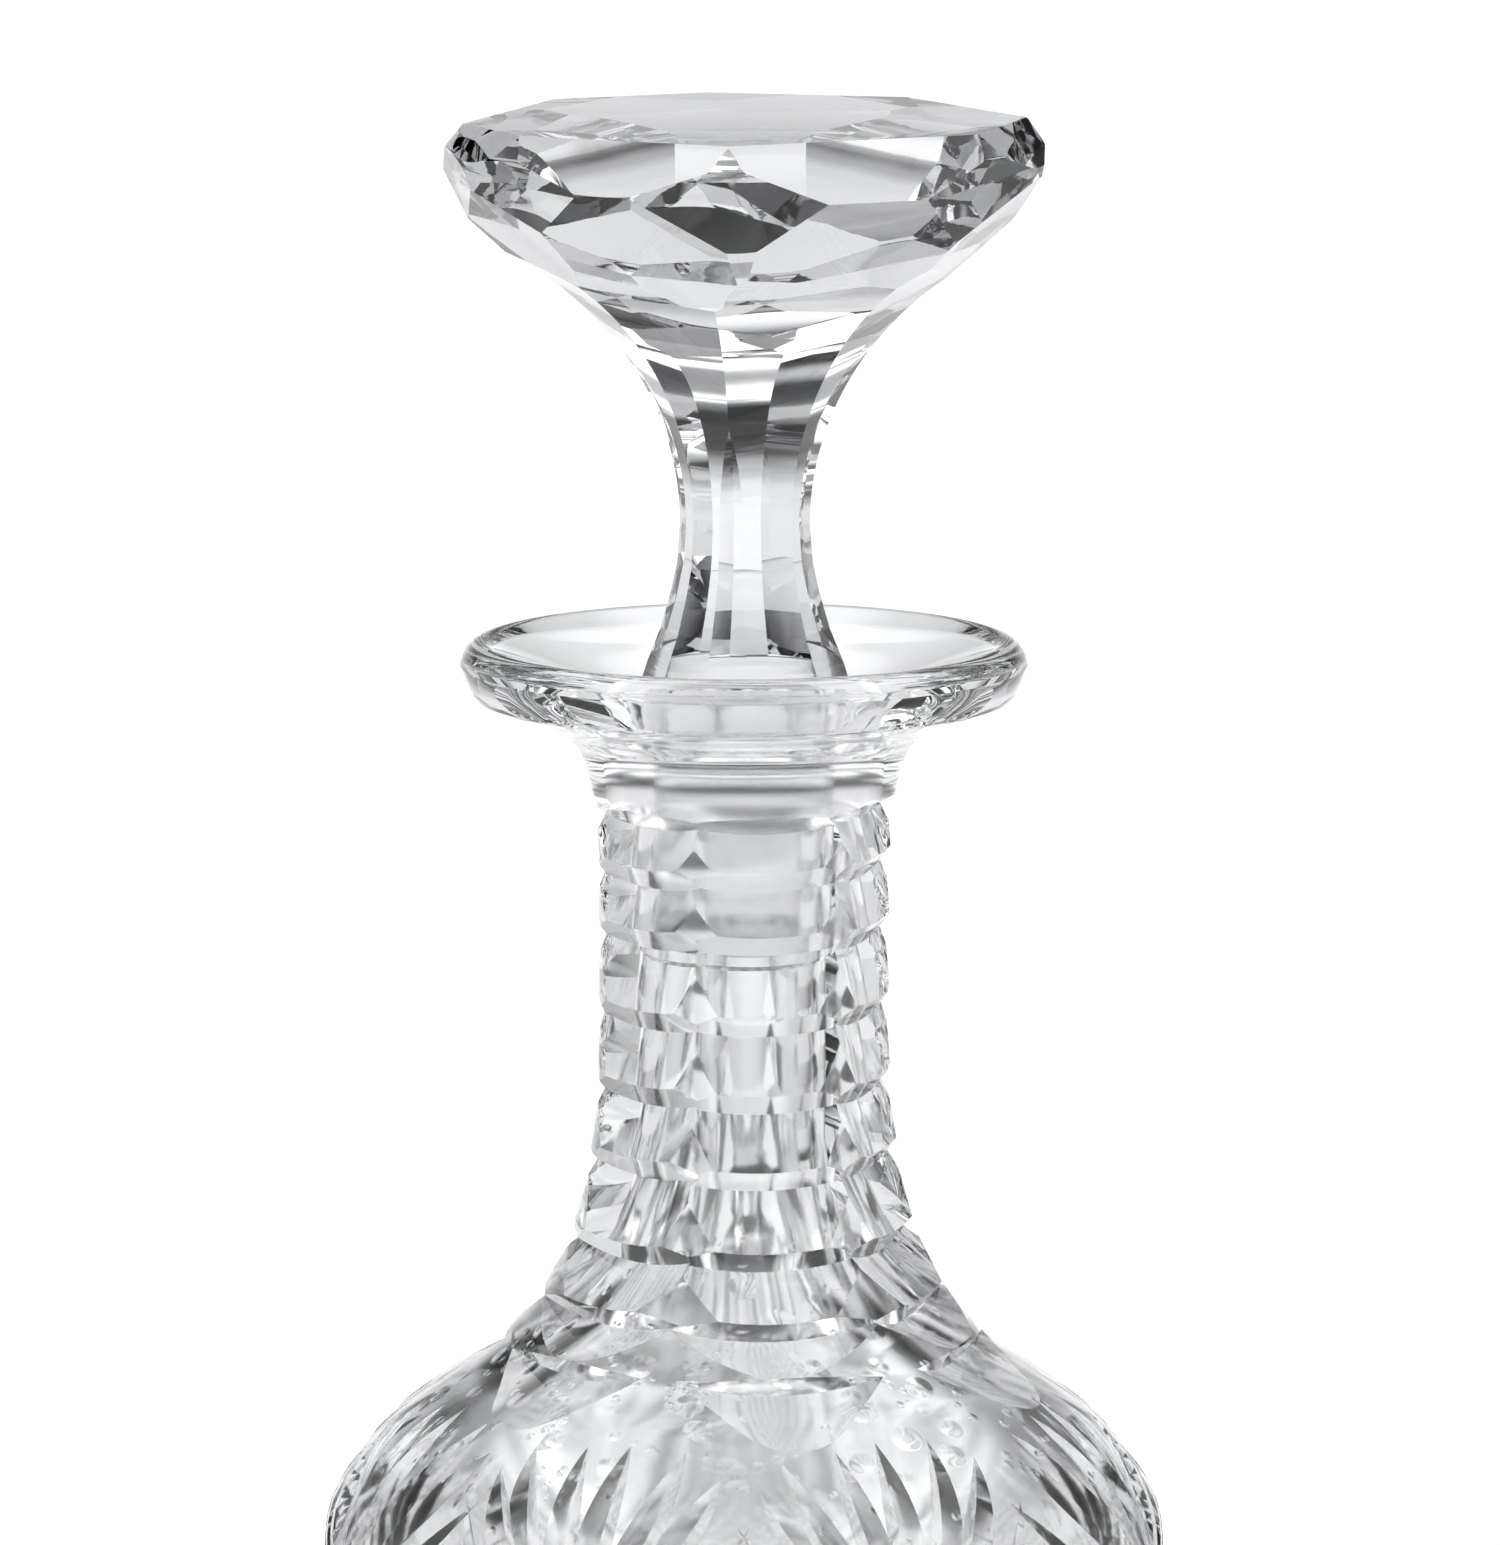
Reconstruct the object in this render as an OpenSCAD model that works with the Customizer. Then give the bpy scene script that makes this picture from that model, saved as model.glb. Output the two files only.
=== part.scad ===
// Cut crystal decanter: a blown and wheel-cut bottle and its solid cut stopper.
// Millimetres, +Z up. The origin is the centre of the ring that it rests on, and the front is -Y.

/* [Bottle] */
// Diameter of the belly at its widest
body_d = 97.6; // [94:0.4:104]
// Height of the widest part of the belly above the table
belly_z = 92; // [88:1:100]
// Height of the lip's widest ring above the widest part of the belly
neck_h = 101.5; // [100:0.5:104]
// Diameter of the round neck before it is cut
neck_d = 34; // [33:0.5:36]
// Diameter of the clear throat below the stopper
throat_d = 17.6; // [16:0.2:18]
// Diameter of the flared lip
lip_d = 65.2; // [62:0.4:68]

/* [Neck cutting] */
// Number of flat sides cut round the neck
neck_sides = 6; // [6:1:8]
// Distance from the axis to the bottom of each step
step_root = 13.9; // [13.6:0.1:14.4]
// How much each step stands out before the next one
step_rise = 1.8; // [1:0.1:2]
// Turn of the flat sides away from the front, in degrees
neck_turn = 10.4; // [0:0.2:30]

/* [Body cutting] */
// Number of diamonds, with a fan between each two
repeats = 8; // [6:1:8]
// Blades in each fan
fan_blades = 6; // [4:1:6]
// Depth of the mitre cuts
cut_depth = 1.3; // [0.8:0.1:1.6]
// Height of a diamond from point to point
diamond_h = 38; // [34:1:40]
// Rays in the star cut under the base
star_rays = 16; // [8:2:24]

/* [Stopper] */
// Height of the table above the lip's widest ring
table_h = 62.6; // [60:0.4:66]
// Distance from the axis to the stem's flats at the waist
waist_r = 7; // [6.6:0.1:7.4]
// Radius of the wheel that hollows the stem's flutes
flute_r = 34.8; // [33:0.3:36]
// Diameter of the ground plug at its top
plug_d = 21; // [20:0.1:21.4]
// Length of the ground plug
plug_l = 28; // [24:1:29]
// Clearance between the plug and its seat
seat_gap = 0.05; // [0.04:0.01:0.08]

/* [Hidden] */
$fn = 120;
body_r = body_d / 2;
neck_r = neck_d / 2;
lip_r = lip_d / 2;
throat_r = throat_d / 2;
lip_z = belly_z + neck_h;
plug_r = plug_d / 2;
plug_tip_r = plug_r - 1.2;
plug_z = lip_z - 5.2;
glass = [0.90, 0.94, 0.96, 0.55];

// Outside of the bottle below the lip, as [radius, height], from the collar down to the foot
outer = [
    [21.4, lip_z - 7.7], [19.5, lip_z - 9.3], [neck_r + 1.2, lip_z - 11.8], [neck_r + 0.5, lip_z - 14.8],
    [neck_r, lip_z - 19], [neck_r, lip_z - 50], [neck_r + 0.7, lip_z - 56], [neck_r + 2.1, lip_z - 63.5],
    [neck_r + 4.6, lip_z - 70], [neck_r + 8.4, lip_z - 76.2], [body_r - 18.2, lip_z - 81.3],
    [body_r - 13.6, lip_z - 84.4], [body_r - 8.8, lip_z - 88], [body_r - 5.2, lip_z - 91.7],
    [body_r - 2.3, lip_z - 95.6], [body_r - 0.6, lip_z - 99], [body_r, lip_z - 103],
    [body_r - 0.2, belly_z - 22], [body_r - 1.4, belly_z - 44], [body_r - 3.2, 28], [body_r - 4.8, 14],
    [body_r - 7, 5.5], [body_r - 9.6, 1.4], [body_r - 12, 0]
];

// Height to radius over the cut part of the body, lowest first
surface = [for (i = [len(outer) - 1:-1:8]) [outer[i][1], outer[i][0]]];

// Inside of the bottle, from the mouth down to the middle of the floor
inner = [
    [28.4, lip_z + 2.1], [14.6, lip_z - 3.2], [12.2, lip_z - 4.2],
    [plug_r + seat_gap + 0.3, plug_z - 0.2], [plug_r + seat_gap, plug_z - 0.8],
    [plug_tip_r + seat_gap, plug_z - plug_l - 0.8], [throat_r, plug_z - plug_l - 1.4],
    [throat_r, lip_z - 56], [throat_r + 0.8, lip_z - 63], [throat_r + 3, lip_z - 70],
    [throat_r + 7.4, lip_z - 77], [body_r - 26, lip_z - 82.4], [body_r - 18.6, lip_z - 87.4],
    [body_r - 12.4, lip_z - 92], [body_r - 8.4, lip_z - 96.6], [body_r - 6.2, lip_z - 102],
    [body_r - 5.8, belly_z - 10], [body_r - 6.4, belly_z - 44], [body_r - 8.6, 30], [body_r - 12, 19],
    [body_r - 18.6, 13.4], [0, 11]
];

// The foot ring and the shallow hollow inside it
under = [[0, 3], [18, 2.6], [body_r - 19.6, 1.6], [body_r - 20.6, 0]];

lip_edge = [
    [30.2, lip_z + 2.6], [lip_r - 1.2, lip_z + 2.2], [lip_r - 0.3, lip_z + 1.1], [lip_r, lip_z],
    [lip_r - 1.3, lip_z - 3.3], [28.6, lip_z - 4.6], [24.6, lip_z - 6]
];

// Heights of the steps below the lip, and how far the steps move out as the neck flares
steps = [17.3, 24.2, 31.5, 40.5, 49.5, 58.3, 67.6, 74.8, 80.3];
flare = [0, 0, 0, 0, 0.1, 0.8, 2.6, 6.2, 11.2];
step_lip = 2.4;

// The stepped line of one flat side, ending in the long facet that runs out on the shoulder
step_line = [
    for (i = [0:len(steps) - 1])
        each [
            [step_root + flare[i] + (i == 0 ? 3.8 : step_rise), lip_z - steps[i] + (i == 0 ? 2.6 : step_lip)],
            [step_root + flare[i], lip_z - steps[i]]
        ]
];

// A point on the body's surface, lifted off it by h
function on_body(a, z, h = 0) =
    let (r = lookup(z, surface), g = (lookup(z + 1, surface) - lookup(z - 1, surface)) / 2)
    let (n = [1, -g] / sqrt(1 + g * g))
    [(r + h * n[0]) * sin(a), -(r + h * n[0]) * cos(a), z + h * n[1]];

// One pointed V cut from [angle, height] p to q
module mitre(p, q, width, depth) {
    m = (p + q) / 2;
    a = on_body(p[0], p[1], 0.15);
    b = on_body(q[0], q[1], 0.15);
    low = on_body(m[0], m[1], -depth);
    high = on_body(m[0], m[1], 3);
    along = (b - a) / norm(b - a);
    across = cross(along, (high - low) / norm(high - low)) * width / 2;
    level = on_body(m[0], m[1], 0.25);
    polyhedron(
        points = [a, b, low, high, level + across, level - across],
        faces = [[0, 4, 2], [0, 3, 4], [0, 5, 3], [0, 2, 5], [1, 2, 4], [1, 4, 3], [1, 3, 5], [1, 5, 2]]
    );
}

// One flat side of the neck, with all its steps
module neck_side() {
    rotate([90, 0, 0])
        linear_extrude(height = 90, center = true)
            polygon(concat(
                step_line,
                [[step_root + 21.5, lip_z - 84.3], [60, lip_z - 93.6], [60, lip_z - steps[0] + 2.6]]
            ));
}

// A fan of blades that opens upwards (dir = 1) or downwards (dir = -1)
module fan(dir) {
    mid_z = belly_z - 10.5;
    root = [180 / repeats, mid_z + 5 * dir];
    for (i = [0:fan_blades - 1]) {
        t = (i - (fan_blades - 1) / 2) / ((fan_blades - 1) / 2);
        reach = dir > 0 ? 22.4 - 3.6 * t * t : 25 - 5 * t * t;
        spread = (dir > 0 ? 20 : 18) * t;
        tip = root + [spread, reach * dir];
        mitre(root + (tip - root) * 0.16, tip, 3.3, cut_depth);
    }
}

// The four mitre cuts round a diamond and the crossed cuts inside it
module diamond() {
    mid_z = belly_z - 10.5;
    half = [180 / repeats - 2.6, diamond_h / 2];
    for (sx = [-1, 1], sz = [-1, 1])
        mitre([half[0] * 0.03 * sx, mid_z + half[1] * 0.97 * sz],
              [half[0] * 0.97 * sx, mid_z + half[1] * 0.03 * sz], 2.6, cut_depth);
    for (s = [-1, 1], t = [-0.45, 0, 0.45])
        mitre([half[0] * (t - 0.45) * s, mid_z + half[1] * (t + 0.45)],
              [half[0] * (t + 0.45) * s, mid_z + half[1] * (t - 0.45)], 1.7, 0.7);
}

module decanter_body() {
    color(glass)
        difference() {
            rotate_extrude()
                polygon(concat(
                    lip_edge, outer, [for (i = [3:-1:0]) under[i]], [for (i = [len(inner) - 1:-1:0]) inner[i]]
                ));
            for (k = [0:neck_sides - 1])
                rotate([0, 0, -90 + neck_turn + k * 360 / neck_sides])
                    neck_side();
            for (k = [0:repeats - 1])
                rotate([0, 0, k * 360 / repeats]) {
                    diamond();
                    fan(1);
                    fan(-1);
                }
            for (k = [0:3 * repeats - 1])
                rotate([0, 0, (k + 0.5) * 120 / repeats])
                    mitre([0, 5], [0, 46 - 9 * (k % 3 == 1 ? 0 : 1)], 3.4, 1.4);
            for (k = [0:star_rays - 1])
                rotate([0, 0, k * 360 / star_rays])
                    translate([0, 14.5, 2.8])
                        rotate([90, 0, 0])
                            scale([1.5, 1, 1])
                                for (m = [0, 1])
                                    mirror([0, 0, m])
                                        cylinder(h = 12.5, r1 = 1.3, r2 = 0, $fn = 4);
        }
}

// Corners of the table, as angles from the front; the hand cutting is not quite even
corners = [-3, 54.8, 93, 144.1, 187.5, 223.2, 280.3, 309.2];
table_z = lip_z + table_h;
table_r = 32.3;

// Angle of each flute of the stem, and how much further out than the waist it lies
flutes = [[22, -0.1], [68, 0], [113, 0], [158, 0], [203, 0], [248, 0], [287, -0.15], [323, 0.2]];
waist_z = lip_z + 16.2;

// Everything beyond a plane through [r, z] that faces the angle a, leans by tilt
// and reaches down by drop and up by rise
module beyond(a, r, z, tilt, drop = 60, rise = 60) {
    rotate([0, 0, a - 90])
        translate([r, 0, z])
            rotate([0, tilt, 0])
                translate([0, -45, -drop])
                    cube([60, 90, drop + rise]);
}

// One side of the stem: a wheel-hollowed flute above the waist, and a side that flares to the foot below it
module flute(a, r, wheel = flute_r) {
    rotate([0, 0, a - 90])
        rotate([90, 0, 0])
            linear_extrude(height = 80, center = true)
                polygon(concat(
                    [[70, lip_z - 4], [r + 4.7, lip_z - 4], [r + 3.6, lip_z], [r + 2.1, lip_z + 4]],
                    [[r + 1, lip_z + 8.2], [r + 0.3, lip_z + 11.6]],
                    [for (t = [0:5:75]) [r + wheel * (1 - cos(t)), waist_z + wheel * sin(t)]],
                    [[70, waist_z + wheel * sin(75)]]
                ));
}

module stopper() {
    color(glass)
        union() {
            difference() {
                rotate_extrude()
                    polygon([
                        [0, lip_z - 2.6], [27, lip_z - 2.6], [27, table_z - 16], [31.6, table_z - 11.4],
                        [33.6, table_z - 9], [34.6, table_z - 6.9], [34.9, table_z - 5.7],
                        [34.8, table_z - 4.5], [34.2, table_z - 2.7], [33, table_z - 1], [32.4, table_z],
                        [0, table_z]
                    ]);
                for (k = [0:7]) {
                    a = corners[k];
                    b = corners[(k + 1) % 8] + (k == 7 ? 360 : 0);
                    mid = (a + b) / 2;
                    beyond(mid, table_r * cos((b - a) / 2), table_z, -43);
                    beyond(mid, 34, table_z - 6.6, 45.6, 18);
                    beyond(a, 33, table_z - 6.2, 19.6);
                }
                for (f = flutes)
                    flute(f[0], waist_r + f[1]);
                flute(-11.5, waist_r + 0.35, 24);
            }
            rotate_extrude()
                polygon([
                    [0, lip_z], [plug_r, lip_z], [plug_r, plug_z],
                    [plug_tip_r + 0.03, plug_z - plug_l + 0.7], [plug_tip_r - 0.8, plug_z - plug_l],
                    [0, plug_z - plug_l]
                ]);
        }
}

decanter_body();
stopper();
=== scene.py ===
"""Cut crystal decanter with its stopper. Lengths are in millimetres until a mesh is made, and heights
named dz are counted from the widest ring of the lip."""

import math
import random

import bmesh
import bpy
import numpy as np
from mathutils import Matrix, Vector


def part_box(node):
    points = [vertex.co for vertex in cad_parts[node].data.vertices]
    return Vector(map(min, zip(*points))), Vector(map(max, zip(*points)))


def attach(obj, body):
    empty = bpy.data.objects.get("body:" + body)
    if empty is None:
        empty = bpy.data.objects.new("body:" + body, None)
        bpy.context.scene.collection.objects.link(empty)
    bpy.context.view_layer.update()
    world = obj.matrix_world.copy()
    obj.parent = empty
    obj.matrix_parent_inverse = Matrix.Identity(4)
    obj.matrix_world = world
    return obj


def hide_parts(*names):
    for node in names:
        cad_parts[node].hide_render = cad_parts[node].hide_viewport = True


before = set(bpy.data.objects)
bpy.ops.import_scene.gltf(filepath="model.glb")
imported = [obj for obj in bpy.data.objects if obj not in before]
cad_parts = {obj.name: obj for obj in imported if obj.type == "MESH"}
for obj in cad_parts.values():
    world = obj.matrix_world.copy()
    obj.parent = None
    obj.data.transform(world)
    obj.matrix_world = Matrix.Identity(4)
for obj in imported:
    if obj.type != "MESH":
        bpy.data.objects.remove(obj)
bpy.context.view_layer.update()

MM = 0.001
CREST = 2.6                                   # the lip's crest above its widest ring
body_low, body_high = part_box("decanter_body")
LIP = body_high[2] / MM - CREST
BODY_R = min(-body_low[0], body_high[0], -body_low[1], body_high[1]) / MM
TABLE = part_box("stopper")[1][2] / MM
NECK_R = 17.0
THROAT_R = 8.8
LIP_R = 32.6
PLUG_R, PLUG_TIP_R, PLUG_L = 10.5, 9.3, 28.0
SEAT_GAP = 0.05
PLUG_Z = LIP - 5.2                            # height of the plug's wide end
PLUG_LOW = PLUG_Z - PLUG_L
BEND = 12                                     # a bent cutter bends this far to both sides of its middle
BLOCK = 60.0                                  # size of a cutting block, well past the glass

# ---------------------------------------------------------------- camera
cam_data = bpy.data.cameras.new("camera")
cam_data.sensor_fit = "HORIZONTAL"
cam_data.sensor_width = 36.0
cam_data.lens = 243.1
cam_data.clip_start = 0.05
cam_data.clip_end = 100.0
camera = bpy.data.objects.new("camera", cam_data)
bpy.context.scene.collection.objects.link(camera)
camera.location = Vector((0.7, -1150.0, LIP + 173.0)) * MM
aim = Vector((0.7, 0.0, LIP - 12.8)) * MM     # the middle of the picture
camera.rotation_euler = (aim - camera.location).to_track_quat("-Z", "Y").to_euler()
bpy.context.scene.camera = camera


# ---------------------------------------------------------------- helpers
def smooth_line(points, step=1.2):
    """Points along a smooth line through the given ones, about step apart."""
    p = [Vector(q) for q in points]
    p = [p[0] * 2 - p[1]] + p + [p[-1] * 2 - p[-2]]
    line = []
    for a, b, c, d in zip(p, p[1:], p[2:], p[3:]):
        ta, tb, tc = (max((v - u).length, 1e-6) ** 0.5 for u, v in ((a, b), (b, c), (c, d)))
        m1 = ((b - a) / ta - (c - a) / (ta + tb) + (c - b) / tb) * tb
        m2 = ((c - b) / tb - (d - b) / (tb + tc) + (d - c) / tc) * tb
        count = max(2, round((c - b).length / step))
        for i in range(count):
            t = i / count
            line.append(b * (2 * t**3 - 3 * t**2 + 1) + m1 * (t**3 - 2 * t**2 + t)
                        + c * (3 * t**2 - 2 * t**3) + m2 * (t**3 - t**2))
    line.append(p[-2])
    return [(q[0], q[1]) for q in line]


def thinned(line, turn=2.5, reach=1.6):
    """The line without the points that its shape doesn't need."""
    kept = [line[0]]
    for here, ahead in zip(line[1:], line[2:]):
        before, after = Vector(here) - Vector(kept[-1]), Vector(ahead) - Vector(here)
        if math.degrees(before.angle(after, math.pi)) > turn or (before + after).length > reach:
            kept.append(here)
    return kept + [line[-1]]


def solid(name, verts, faces):
    mesh = bpy.data.meshes.new(name)
    mesh.from_pydata([Vector(v) * MM for v in verts], [], faces)
    bm = bmesh.new()
    bm.from_mesh(mesh)
    bmesh.ops.recalc_face_normals(bm, faces=bm.faces)
    bm.to_mesh(mesh)
    bm.free()
    obj = bpy.data.objects.new(name, mesh)
    bpy.context.scene.collection.objects.link(obj)
    return obj


def merged(name, parts):
    """One object from several (verts, faces) solids."""
    verts, faces = [], []
    for v, f in parts:
        faces += [[i + len(verts) for i in face] for face in f]
        verts += v
    return solid(name, verts, faces)


def revolve(name, profile, segments=240):
    """A solid of revolution. The profile runs from a point on the axis to another one."""
    verts, faces, rings = [], [], []
    for r, z in profile:
        if r < 1e-6:
            rings.append([len(verts)] * segments)
            verts.append((0, 0, z))
        else:
            rings.append(range(len(verts), len(verts) + segments))
            verts += [(r * math.cos(2 * math.pi * k / segments), r * math.sin(2 * math.pi * k / segments), z)
                      for k in range(segments)]
    for low, high in zip(rings, rings[1:]):
        for k in range(segments):
            n = (k + 1) % segments
            ring = [low[k], low[n], high[n], high[k]]
            faces.append([v for i, v in enumerate(ring) if v not in ring[:i]])
    return solid(name, verts, faces)


def cut(obj, cutters, operation="DIFFERENCE"):
    """Applies the cutters to obj one after another and deletes them."""
    for c in cutters:
        mod = obj.modifiers.new("cut", "BOOLEAN")
        mod.operation, mod.solver, mod.object = operation, "MANIFOLD", c
    bpy.context.view_layer.update()
    graph = bpy.context.evaluated_depsgraph_get()
    mesh = bpy.data.meshes.new_from_object(obj.evaluated_get(graph))
    obj.modifiers.clear()
    old, obj.data = obj.data, mesh
    bpy.data.meshes.remove(old)
    for c in cutters:
        data = c.data
        bpy.data.objects.remove(c)
        bpy.data.meshes.remove(data)


def finish_mesh(obj, angle):
    """Welds the slivers that cutting leaves, then shades smooth between edges sharper than angle."""
    bm = bmesh.new()
    bm.from_mesh(obj.data)
    bmesh.ops.remove_doubles(bm, verts=bm.verts, dist=2e-6)
    bmesh.ops.dissolve_degenerate(bm, edges=bm.edges, dist=2e-6)
    bm.to_mesh(obj.data)
    bm.free()
    for p in obj.data.polygons:
        p.use_smooth = True
    obj.data.set_sharp_from_angle(angle=math.radians(angle))
    even = obj.modifiers.new("even_shading", "WEIGHTED_NORMAL")
    even.keep_sharp = True


def facing(a):
    """Unit vector at a degrees from the front, turning to the right."""
    return Vector((math.sin(math.radians(a)), -math.cos(math.radians(a)), 0))


def prism(line, a, half, bend=None):
    """A side view (distance from the axis, height) pushed out sideways by half to both sides.
    bend gives how far it is raised at a distance sideways."""
    out, side = facing(a), facing(a + 90)
    n = len(line)
    stations = [-half, half] if bend is None else [-half, *range(-BEND, BEND + 1), half]
    verts, faces = [], [list(range(n)), [n * (len(stations) - 1) + i for i in range(n - 1, -1, -1)]]
    for s in stations:
        rise = bend(s) if bend else 0
        verts += [tuple(out * x + side * s + Vector((0, 0, z + rise))) for x, z in line]
    for j in range(len(stations) - 1):
        low, high = j * n, (j + 1) * n
        faces += [[low + i, high + i, high + (i + 1) % n, low + (i + 1) % n] for i in range(n)]
    return verts, faces


def beyond(a, r, z, tilt, down=BLOCK, up=BLOCK):
    """A block outside a plane through (r, z) that faces a degrees, leans by tilt and reaches down and up."""
    t = math.radians(tilt)
    along, out = Vector((math.sin(t), math.cos(t))), Vector((math.cos(t), -math.sin(t)))
    base = Vector((r, z))
    low, high = base - along * down, base + along * up
    corners = [low, high, high + out * BLOCK, low + out * BLOCK]
    return prism([tuple(c) for c in corners], a, 45)


# ---------------------------------------------------------------- the bottle's outlines
collar = [(21.4, -7.7), (19.5, -9.3), (NECK_R + 1.2, -11.8), (NECK_R + 0.5, -14.8), (NECK_R, -19)]
neck = [(NECK_R, -50), (NECK_R + 0.7, -56), (NECK_R + 2.1, -63.5), (NECK_R + 4.6, -70), (NECK_R + 8.4, -76.2)]
shoulder = [(BODY_R - 18.2, -81.3), (BODY_R - 13.6, -84.4), (BODY_R - 8.8, -88), (BODY_R - 5.2, -91.7),
            (BODY_R - 2.3, -95.6), (BODY_R - 0.6, -99), (BODY_R, -103)]
wall = [(BODY_R - 0.2, 70), (BODY_R - 1.4, 48), (BODY_R - 3.2, 28), (BODY_R - 4.8, 14), (BODY_R - 7, 5.5),
        (BODY_R - 9.6, 1.4), (BODY_R - 12, 0)]
lip_top = [(28.4, 2.15), (29.3, 2.5), (30.2, CREST), (LIP_R - 1.2, 2.2), (LIP_R - 0.35, 1.1), (LIP_R, 0)]
lip_under = [(LIP_R - 1.3, -3.2), (LIP_R - 1.7, -3.75), (LIP_R - 2.6, -4.2), (28.4, -4.8), (24.6, -6.2)]
dish = [(THROAT_R + 2.3, -5.2), (THROAT_R + 3.5, -4.3), (14.6, -3.3), (19, -1.4), (24, 0.5)]
throat = [(0, 11), (BODY_R - 32, 11.4), (BODY_R - 18.6, 13.4), (BODY_R - 12, 19), (BODY_R - 8.6, 30),
          (BODY_R - 6.4, 48), (BODY_R - 5.8, 82)]
shoulder_in = [(BODY_R - 6.2, -102), (BODY_R - 8.4, -96.6), (BODY_R - 12.4, -92), (BODY_R - 18.6, -87.4),
               (BODY_R - 26, -82.4), (THROAT_R + 7.4, -77), (THROAT_R + 3, -70), (THROAT_R + 0.8, -63),
               (THROAT_R, -56)]


def up(points):
    return [(r, z + LIP) for r, z in points]


inner_line = smooth_line(throat + up(shoulder_in)) + smooth_line(up([(THROAT_R, -45), (THROAT_R, -36)]))
seat_line = [(THROAT_R, PLUG_LOW - 1.4), (PLUG_TIP_R + SEAT_GAP, PLUG_LOW - 0.8),
             (PLUG_R + SEAT_GAP, PLUG_Z - 0.8)]
outer_line = [(min(r, BODY_R), z) for r, z in smooth_line(up(collar + neck + shoulder) + wall, 0.6)]
lip_line = smooth_line(up(dish + lip_top), 0.25) + smooth_line(up(lip_under + collar[:1]), 0.25)[:-1]
under_line = [(BODY_R - 20.6, 0), (BODY_R - 19.6, 1.6), (18, 2.6), (0, 3)]

body_z, body_r = np.array([(z, r) for r, z in reversed(outer_line) if z < LIP - 70]).T


def on_body(a, z):
    """A point of the uncut surface and its outward normal."""
    near = 0.6
    r, above, below = (np.interp(z + d, body_z, body_r) for d in (0, near, -near))
    normal = (facing(a) - Vector((0, 0, (above - below) / (2 * near)))).normalized()
    return facing(a) * r + Vector((0, 0, z)), normal


# ---------------------------------------------------------------- cuts
def groove(p, q, depth, slope, proud=0.35, steps=14):
    """A pointed V cut on the body from (angle, height) p to q. slope is half the width over the depth."""
    places = []
    blunt = 2.2                               # how full the cut is between its ends
    over = 0.5 / (depth / (depth + proud)) ** (1 / blunt) - 0.5      # it starts and ends above the glass
    for i in range(steps + 1):
        t = (i / steps) * (1 + 2 * over) - over
        a, z = p[0] + (q[0] - p[0]) * t, p[1] + (q[1] - p[1]) * t
        places.append(on_body(a, z))
    verts, faces = [], []
    for i, (point, normal) in enumerate(places):
        t = i / steps
        ahead = places[min(i + 1, steps)][0] - places[max(i - 1, 0)][0]
        side = ahead.cross(normal).normalized()
        d = -proud + (depth + proud) * (1 - abs(2 * t - 1) ** blunt)
        top = point + normal * proud
        if i in (0, steps):
            verts.append(tuple(top))
            continue
        wide = side * (d + proud) * slope
        verts += [tuple(point - normal * d), tuple(top + wide), tuple(top - wide)]
    between = [[1 + 3 * i, 2 + 3 * i, 3 + 3 * i] for i in range(steps - 1)]
    rings = [[0, 0, 0], *between, [len(verts) - 1] * 3]
    for low, high in zip(rings, rings[1:]):
        for k in range(3):
            n = (k + 1) % 3
            ring = [low[k], low[n], high[n], high[k]]
            face = [v for i, v in enumerate(ring) if v not in ring[:i]]
            if len(face) > 2:
                faces.append(face)
    return verts, faces


# Steps down each flat side of the neck: how far below the lip each one lies and how far out it has moved
STEP_ROOT, STEP_RISE, STEP_LIP = 13.9, 1.8, 2.4
STEPS = [17.3, 24.2, 31.5, 40.5, 49.5, 58.3, 67.6, 74.8, 80.3]
FLARE = [0, 0, 0, 0, 0.1, 0.8, 2.6, 6.2, 11.2]
NECK_SIDES, NECK_TURN = 6, 10.4
rng = random.Random(7)


def neck_side(k):
    """The cutter of one side, a little uneven, whose edges droop towards the middle of the side."""
    line = []
    for i, (down, out) in enumerate(zip(STEPS, FLARE)):
        rise, reach = (STEP_RISE, STEP_LIP) if i else (3.8, 2.6)     # the top one runs into the collar
        z = LIP - down + rng.uniform(-0.35, 0.35)
        r = STEP_ROOT + out + rng.uniform(-0.12, 0.12)
        line += [(r + rise, z + reach), (r, z)]
    line += [(STEP_ROOT + 21.5, LIP - 84.3), (60, LIP - 93.6), (60, LIP - 14.7)]
    lean = rng.uniform(-0.02, 0.02)
    return prism(line, NECK_TURN + 360 / NECK_SIDES * k + rng.uniform(-1, 1), 45,
                 lambda s: 0.013 * min(abs(s), BEND) ** 2 + lean * max(-BEND, min(s, BEND)) - 0.35)


REPEATS = 8
BELT = LIP - 112.0                            # height of the diamonds' middles
DIAMOND_W, DIAMOND_H = 19.9, 19.0             # half width in degrees, half height
HATCH = 0.94                                  # how much of the diamond its crossed cuts fill
FAN_TIPS = [(-20, -88), (-16, -85.6), (-5.8, -84.9), (2.4, -84.4), (13, -84.7), (20, -86.9)]    # angle, dz
FAN_TURN = [22.5, 26, 24, 22, 21, 23.5, 22, 21.5]    # hand cut, so not quite even


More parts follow.
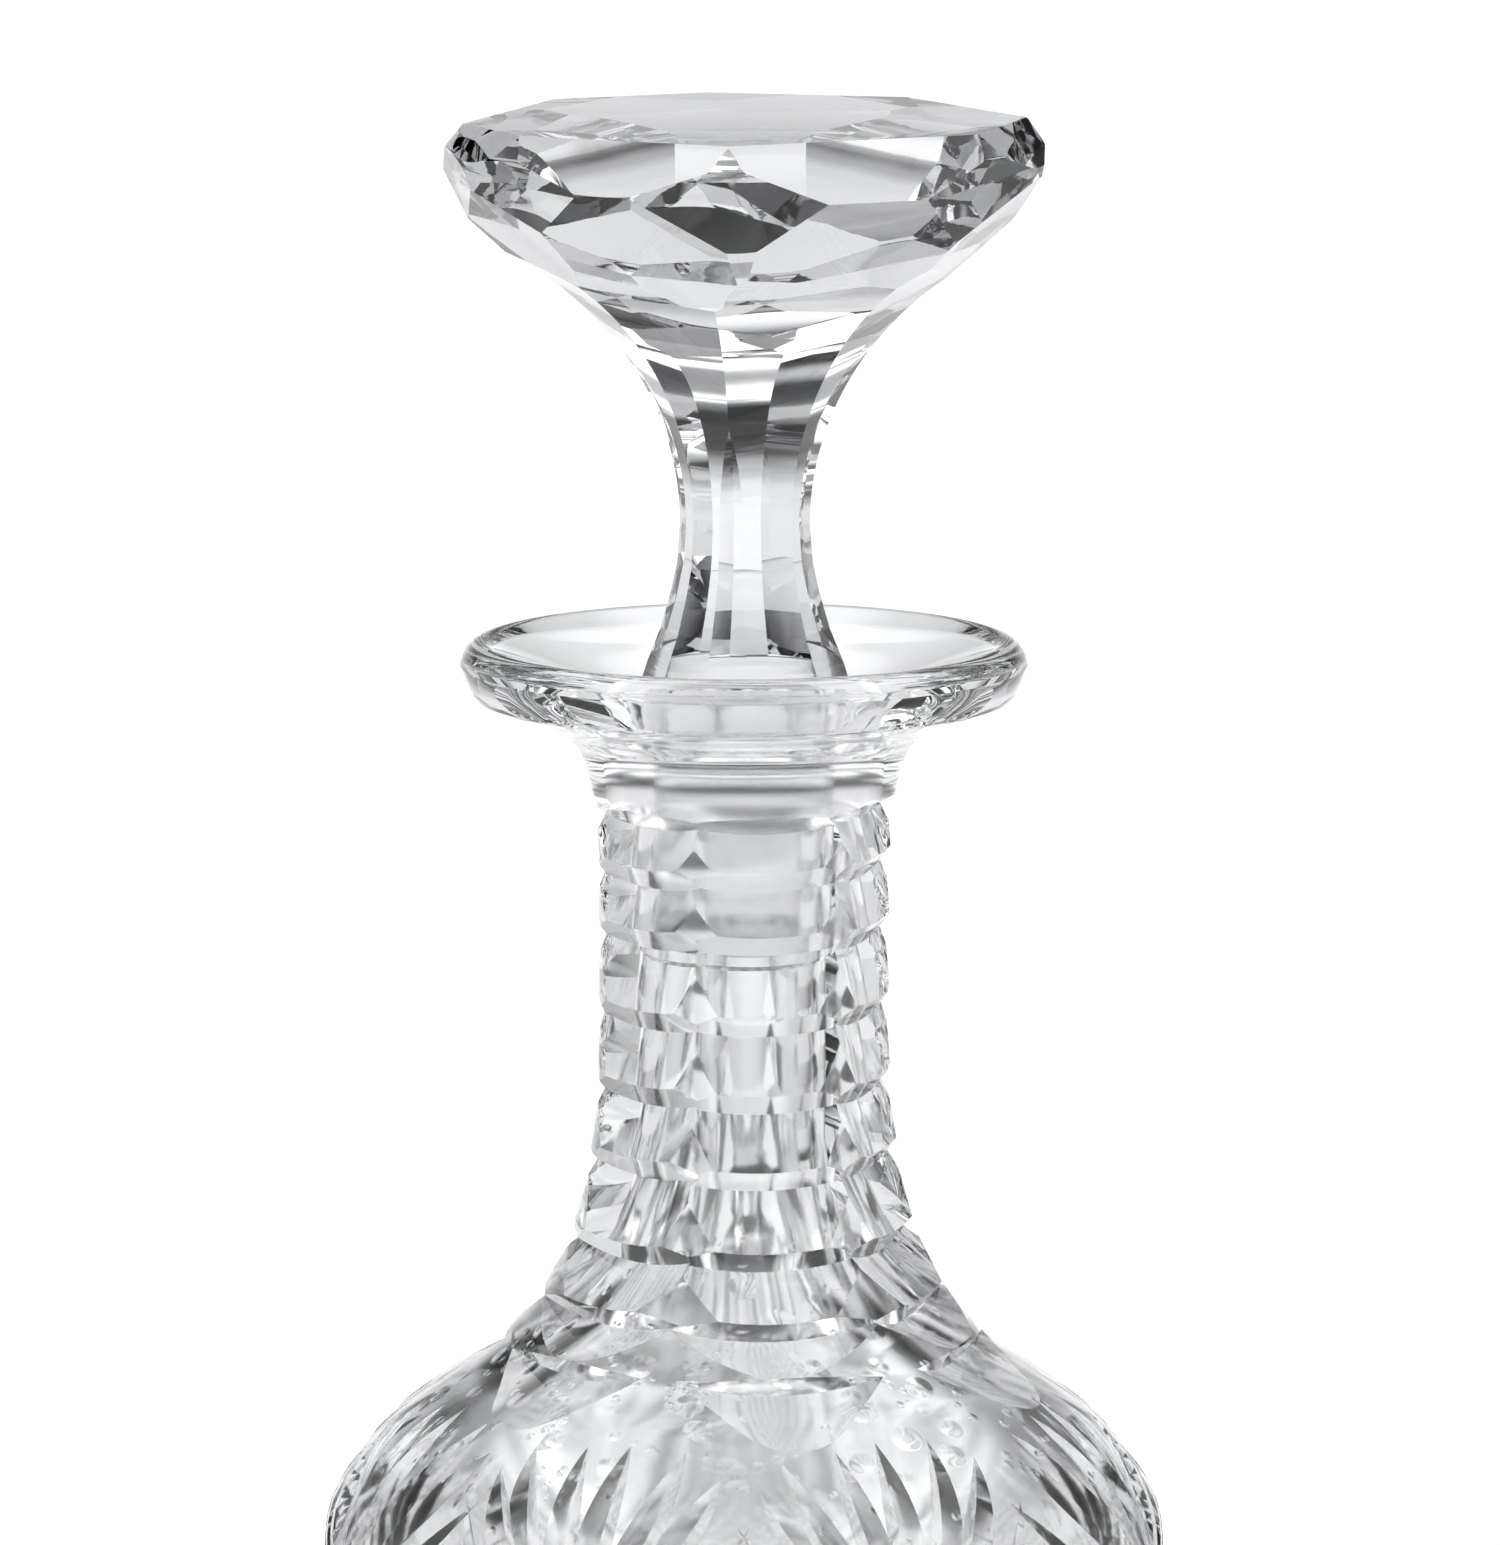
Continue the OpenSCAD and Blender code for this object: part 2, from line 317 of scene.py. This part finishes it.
def cutting_groups():
    """Lists of cuts, where the cuts of one list don't touch each other."""
    fans = [[], [], [], []]
    mitres = [[], [], [], []]
    hatch = [[], []]
    for k in range(REPEATS):
        turn = 360 / REPEATS * k
        root = turn + FAN_TURN[k]
        for i, (a, dz) in enumerate(FAN_TIPS):
            start = Vector((root + a * 0.14, BELT + 6.4 + 1.2 * abs(a) / 20))
            tip = Vector((root + a, LIP + dz))
            fans[i % 2].append(groove(start, tip, 1.5 + rng.uniform(-0.1, 0.1), 1.5))
        for i in range(6):
            a = (i - 2.5) / 2.5
            start = (turn + 22.5 + a * 2.8, BELT - 7)
            tip = (turn + 22.5 + a * 17.5, BELT - 29.5 + 4.5 * a * a)
            fans[2 + i % 2].append(groove(start, tip, 1.3, 1.1))
        for j, (sx, sz) in enumerate(((1, 1), (-1, 1), (1, -1), (-1, -1))):
            mitres[j].append(groove((turn - sx * 1.2, BELT + sz * (DIAMOND_H + 1.6)),
                                    (turn + sx * (DIAMOND_W + 1.2), BELT - sz * 1.0), 1.25, 1.0))
        for s in (0, 1):
            sign = 1 - 2 * s
            for i in range(-4, 5):
                t = i / 5
                a0, z0 = DIAMOND_W * (t - 1) / 2 * HATCH, DIAMOND_H * (t + 1) / 2 * HATCH
                a1, z1 = DIAMOND_W * (t + 1) / 2 * HATCH, DIAMOND_H * (t - 1) / 2 * HATCH
                start, tip = (turn + sign * a0, BELT + z0), (turn + sign * a1, BELT + z1)
                hatch[s].append(groove(start, tip, 0.75, 1.0))
    heel = [groove((15 * k + 7.5, 3.5), (15 * k + 7.5, 46 if k % 3 == 1 else 37), 1.5, 1.2)
            for k in range(3 * REPEATS)]
    return fans + mitres + hatch + [heel]


STAR_RAYS = 24


def star_ray(k):
    """One ray of the star under the base."""
    out, side = facing(360 * k / STAR_RAYS), facing(360 * k / STAR_RAYS + 90)
    length, deep = (25, 1.9) if k % 2 == 0 else (19, 1.5)
    mid, end = out * length * 0.55, out * length
    verts = [out * 1.5 + Vector((0, 0, 2.2)), end + Vector((0, 0, 1.8)), mid + Vector((0, 0, 2.7 + deep)),
             mid + side * 2.2 + Vector((0, 0, 1.6)), mid - side * 2.2 + Vector((0, 0, 1.6))]
    return [tuple(v) for v in verts], [[0, 2, 3], [0, 4, 2], [1, 3, 2], [1, 2, 4], [0, 3, 1, 4]]


body_line = thinned(inner_line) + seat_line + thinned(lip_line) + thinned(outer_line) + under_line
body = revolve("cut_bottle", body_line, 200)
cut(body, [merged("side", [neck_side(k)]) for k in range(NECK_SIDES)])
cut(body, [merged("cuts", group) for group in cutting_groups()])
cut(body, [merged("star", [star_ray(k) for k in range(s, STAR_RAYS, 4)]) for s in range(4)])
finish_mesh(body, 9)
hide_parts("decanter_body")
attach(body, "bottle")

# ---------------------------------------------------------------- the stopper
CORNERS = [-3, 54.8, 93, 144.1, 187.5, 223.2, 280.3, 309.2]
TABLE_R = 32.3
WAIST = LIP + 16.2
WHEEL, SMALL_WHEEL = 34.8, 24                 # radii of the wheels that cut the flutes
SWEEP = 1.309                                 # how far up round the wheel a flute goes, in radians
# Angle of each flute, its distance from the axis at the waist, and its wheel
FLUTES = [(22, 6.9, WHEEL), (68, 7, WHEEL), (113, 7, WHEEL), (158, 7, WHEEL), (203, 7, WHEEL),
          (248, 7, WHEEL), (287, 6.85, WHEEL), (323, 7.2, WHEEL), (-11.5, 7.35, SMALL_WHEEL)]

girdle_line = [(31.6, TABLE - 11.4), (33.6, TABLE - 9), (34.6, TABLE - 6.9), (34.9, TABLE - 5.7),
               (34.8, TABLE - 4.5), (34.2, TABLE - 2.7), (33, TABLE - 1), (32.4, TABLE)]
head_line = [(0, LIP - 2.6), (27, LIP - 2.6), (27, TABLE - 16)] + smooth_line(girdle_line, 0.3) + [(0, TABLE)]
stopper = revolve("cut_stopper", head_line)
planes = []
for a, b in zip(CORNERS, CORNERS[1:] + [CORNERS[0] + 360]):
    middle, span = (a + b) / 2, TABLE_R * math.cos(math.radians((b - a) / 2))
    planes += [beyond(middle, span, TABLE, -43), beyond(middle, 34, TABLE - 6.6, 45.6, down=18),
               beyond(a, 33, TABLE - 6.2, 19.6)]
cut(stopper, [merged("plane", [p]) for p in planes])


def flute(a, r, wheel):
    """One side of the stem: hollowed by a round wheel above the waist, flaring to the foot below it."""
    arc = [(r + wheel * (1 - math.cos(t)), WAIST + wheel * math.sin(t)) for t in np.linspace(0, SWEEP, 60)]
    low = [(70, LIP - 4), (r + 4.7, LIP - 4), (r + 3.6, LIP), (r + 2.1, LIP + 4), (r + 1, LIP + 8.2),
           (r + 0.3, LIP + 11.6)]
    return prism(low + arc + [(70, arc[-1][1])], a, 40)


cut(stopper, [merged("side", [flute(*f)]) for f in FLUTES])
plug_line = [(0, PLUG_LOW), (PLUG_TIP_R - 0.8, PLUG_LOW), (PLUG_TIP_R + 0.03, PLUG_LOW + 0.7),
             (PLUG_R, PLUG_Z), (PLUG_R, LIP), (0, LIP)]
cut(stopper, [revolve("plug", plug_line, 192)], "UNION")
finish_mesh(stopper, 4)
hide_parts("stopper")
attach(stopper, "stopper")


# ---------------------------------------------------------------- materials
INSIDE_HAZE, FROST = 0.13, 0.13               # roughness of the blown inside and of the ground glass
BOTTLE_TINT, STOPPER_TINT = 0.996, 0.985
STOPPER_SMOKE = 5.0


class Nodes:
    """Adds nodes to a tree and links them by name."""

    def __init__(self, tree):
        self.tree = tree

    def add(self, kind, inputs=None, **settings):
        node = self.tree.nodes.new(kind)
        for key, value in settings.items():
            setattr(node, key, value)
        for key, value in (inputs or {}).items():
            if isinstance(value, bpy.types.NodeSocket):
                self.tree.links.new(value, node.inputs[key])
            else:
                node.inputs[key].default_value = value
        return node

    def math(self, operation, a, b=0.0):
        return self.add("ShaderNodeMath", {0: a, 1: b}, operation=operation).outputs[0]

    def step(self, value, low, high):
        node = self.add("ShaderNodeMapRange", {"Value": value, "From Min": low, "From Max": high}, clamp=True)
        node.interpolation_type = "SMOOTHSTEP"
        return node.outputs[0]


def crystal(name, ground_low, ground_high, ground_radius, tint, damp=False, smoke=0.0):
    """Clear lead crystal whose ground seat, between two heights near the axis, is frosted. damp is for the
    blown inside of the bottle, which is a little hazy and has drops clinging under the shoulder. smoke is
    how much light a metre of the glass takes away."""
    mat = bpy.data.materials.new(name)
    mat.use_nodes = True
    tree = mat.node_tree
    shader = tree.nodes["Principled BSDF"]
    n = Nodes(tree)
    where = n.add("ShaderNodeTexCoord").outputs["Object"]
    split = n.add("ShaderNodeSeparateXYZ", {0: where})
    x, y, z = split.outputs
    radius = n.math("SQRT", n.math("ADD", n.math("MULTIPLY", x, x), n.math("MULTIPLY", y, y)))
    inside = n.math("SUBTRACT", 1.0, n.step(radius, ground_radius, ground_radius + 0.0004))
    band = n.math("MULTIPLY", n.step(z, ground_low - 0.0003, ground_low), n.math(
        "SUBTRACT", 1.0, n.step(z, ground_high, ground_high + 0.0003)))
    ground = n.math("MULTIPLY", inside, band)
    haze = n.add("ShaderNodeTexNoise", {"Vector": where, "Scale": 90.0, "Detail": 4.0}).outputs[0]
    clear = n.math("ADD", n.math("MULTIPLY", n.step(haze, 0.52, 0.8), 0.03), INSIDE_HAZE if damp else 0.0)
    grain = n.add("ShaderNodeTexNoise", {"Vector": where, "Scale": 1500.0, "Detail": 2.0}).outputs[0]
    frost = n.math("ADD", FROST, n.math("MULTIPLY", grain, 0.06))
    rough = n.add("ShaderNodeMix", {0: ground, 2: clear, 3: frost}).outputs[0]
    tree.links.new(rough, shader.inputs["Roughness"])
    wave = n.add("ShaderNodeTexNoise", {"Vector": where, "Scale": 75.0, "Detail": 1.5}).outputs[0]
    polish = n.add("ShaderNodeTexNoise", {"Vector": where, "Scale": 420.0, "Detail": 3.0}).outputs[0]
    height = n.math("ADD", wave, n.math("MULTIPLY", polish, 0.05))
    height = n.math("ADD", height, n.math("MULTIPLY", n.math("MULTIPLY", grain, ground), 0.03))
    if damp:
        shoulder_zone = n.math("MULTIPLY", n.step(z, (LIP - 104) * MM, (LIP - 92) * MM), n.math(
            "SUBTRACT", 1.0, n.step(z, (LIP - 72) * MM, (LIP - 60) * MM)))
        for size, share in ((210.0, 0.45), (520.0, 0.3)):
            cells = n.add("ShaderNodeTexVoronoi", {"Vector": where, "Scale": size, "Randomness": 1.0})
            pick = n.add("ShaderNodeSeparateXYZ", {0: cells.outputs["Color"]}).outputs[0]
            chosen = n.step(pick, 1 - share, 1.02 - share)
            cap = n.math("SUBTRACT", 1.0, n.step(cells.outputs["Distance"], 0.12, 0.42))
            drop = n.math("MULTIPLY", n.math("MULTIPLY", cap, chosen), shoulder_zone)
            height = n.math("ADD", height, n.math("MULTIPLY", drop, 420.0 / size))
    bump = n.add("ShaderNodeBump", {"Strength": 0.25, "Distance": 0.00022, "Height": height})
    tree.links.new(bump.outputs[0], shader.inputs["Normal"])
    shader.inputs["Base Color"].default_value = (tint - 0.004, tint, tint + 0.006, 1)
    shader.inputs["Transmission Weight"].default_value = 1.0
    shader.inputs["IOR"].default_value = 1.54
    if smoke:
        grey = n.add("ShaderNodeVolumeAbsorption", {"Color": (0.0, 0.0, 0.04, 1), "Density": smoke})
        tree.links.new(grey.outputs[0], tree.nodes["Material Output"].inputs["Volume"])
    return mat


def dress(obj, *mats):
    obj.data.materials.clear()
    for mat in mats:
        obj.data.materials.append(mat)


# Where the glass is ground: from, to and out to, in metres
seat = ((PLUG_LOW - 1.2) * MM, (PLUG_Z - 0.6) * MM, 0.0108)
plug = ((PLUG_LOW + 0.5) * MM, (PLUG_Z + 0.4) * MM, 0.0107)
dress(body, crystal("cut_crystal", *seat, BOTTLE_TINT),
      crystal("blown_inside", *seat, BOTTLE_TINT, damp=True))
inside_z, inside_r = np.array([(z, r) for r, z in inner_line]).T
for face in body.data.polygons:
    x, y, z = face.center / MM
    if 10 < z < LIP - 35 and math.hypot(x, y) < np.interp(z, inside_z, inside_r) + 0.3:
        face.material_index = 1
dress(stopper, crystal("stopper_crystal", *plug, STOPPER_TINT, smoke=STOPPER_SMOKE))

# ---------------------------------------------------------------- floor, light and finish
FLANK = (0.2, 0.6)                            # the studio light is dimmer to the left and right of the set, and the floor has painted shade there too
FLOOR_PAINTED_SHADE, SKY_DIM = 0.6, 0.14                # by how much: painted shade on the floor's painted glow, and real dimming of the sky light
PAINTED_GLOW, PAINTED_GLOW_AT = 0.38, (0.12, 0.36)            # painted light: the floor glows though it is no lamp, from and up to full at these metres away, which leaves painted shade near the bottle
SOFT_BOX, SOFT_BOX_AT = 1.95, (0.82, 0.88)    # strength of the soft box, and the heights where it begins
# Brightness by height, from straight down (0) to straight up (1): a white horizon, a dark band, a soft
# box overhead and a dimmer patch at the very top
BANDS = [(0.0, 1.0), (0.515, 1.0), (0.555, 0.6), (0.61, 0.06), (0.66, 0.01), (0.8, 0.02), (0.85, 1.0),
         (0.93, 1.0), (0.965, 0.25), (1.0, 0.2)]

floor = solid("floor", [(-20000, -20000, 0), (20000, -20000, 0), (20000, 20000, 0), (-20000, 20000, 0)],
              [[0, 1, 2, 3]])
paper = bpy.data.materials.new("pale_floor_painted_glow")
paper.use_nodes = True
sheet = Nodes(paper.node_tree)
base = paper.node_tree.nodes["Principled BSDF"]
place = sheet.add("ShaderNodeTexCoord").outputs["Object"]
fibre = sheet.add("ShaderNodeTexNoise", {"Scale": 300.0, "Vector": place})
tone = sheet.add("ShaderNodeMapRange", {"Value": fibre.outputs[0], "To Min": 0.88, "To Max": 0.92})
paper.node_tree.links.new(tone.outputs[0], base.inputs["Base Color"])
# Painted light on the floor: it glows more the farther it is from the bottle, leaving painted shade round the
# foot, and glows less to the left and right
away = sheet.add("ShaderNodeVectorMath", {0: place}, operation="LENGTH").outputs["Value"]
east = sheet.math("ABSOLUTE", sheet.add("ShaderNodeSeparateXYZ", {0: place}).outputs[0])
flank = sheet.step(sheet.math("DIVIDE", east, away), *FLANK)
painted_glow_far = sheet.math("MULTIPLY", sheet.step(away, *PAINTED_GLOW_AT), PAINTED_GLOW)
painted_floor_glow = sheet.math("MULTIPLY", painted_glow_far, sheet.math("SUBTRACT", 1.0, sheet.math("MULTIPLY", flank, FLOOR_PAINTED_SHADE)))
base.inputs["Emission Color"].default_value = (1, 1, 1, 1)
paper.node_tree.links.new(painted_floor_glow, base.inputs["Emission Strength"])
base.inputs["Roughness"].default_value = 0.9
base.inputs["Specular IOR Level"].default_value = 0.0
dress(floor, paper)

world = bpy.data.worlds.new("studio")
bpy.context.scene.world = world
world.use_nodes = True
sky = Nodes(world.node_tree)
direction = sky.add("ShaderNodeTexCoord").outputs["Generated"]
east, _, upward = sky.add("ShaderNodeSeparateXYZ", {0: direction}).outputs
height = sky.math("MULTIPLY", sky.math("ADD", upward, 1.0), 0.5)
level = sky.math("SQRT", sky.math("SUBTRACT", 1.0001, sky.math("MULTIPLY", upward, upward)))
flank = sky.step(sky.math("DIVIDE", sky.math("ABSOLUTE", east), level), *FLANK)
flank = sky.math("MULTIPLY", flank, sky.math("SUBTRACT", 1.0, sky.step(height, 0.6, 0.84)))
ramp = sky.add("ShaderNodeValToRGB", {0: height})
ramp.color_ramp.interpolation = "EASE"
stops = ramp.color_ramp.elements
stops[0].position, stops[1].position = BANDS[0][0], BANDS[-1][0]
for at, _ in BANDS[1:-1]:
    stops.new(at)
for stop, (at, value) in zip(stops, BANDS):
    stop.position, stop.color = at, (value, value, value * 1.01, 1)
overhead = sky.add("ShaderNodeMapRange", {"Value": height, "From Min": SOFT_BOX_AT[0],
                                          "From Max": SOFT_BOX_AT[1], "To Min": 1.0, "To Max": SOFT_BOX})
back = world.node_tree.nodes["Background"]
world.node_tree.links.new(ramp.outputs[0], back.inputs["Color"])
dimmed = sky.math("SUBTRACT", 1.0, sky.math("MULTIPLY", flank, SKY_DIM))
world.node_tree.links.new(sky.math("MULTIPLY", overhead.outputs[0], dimmed), back.inputs["Strength"])

scene = bpy.context.scene
scene.view_settings.view_transform = "Standard"
scene.cycles.max_bounces = 40
scene.cycles.transmission_bounces = 40
scene.cycles.glossy_bounces = 12
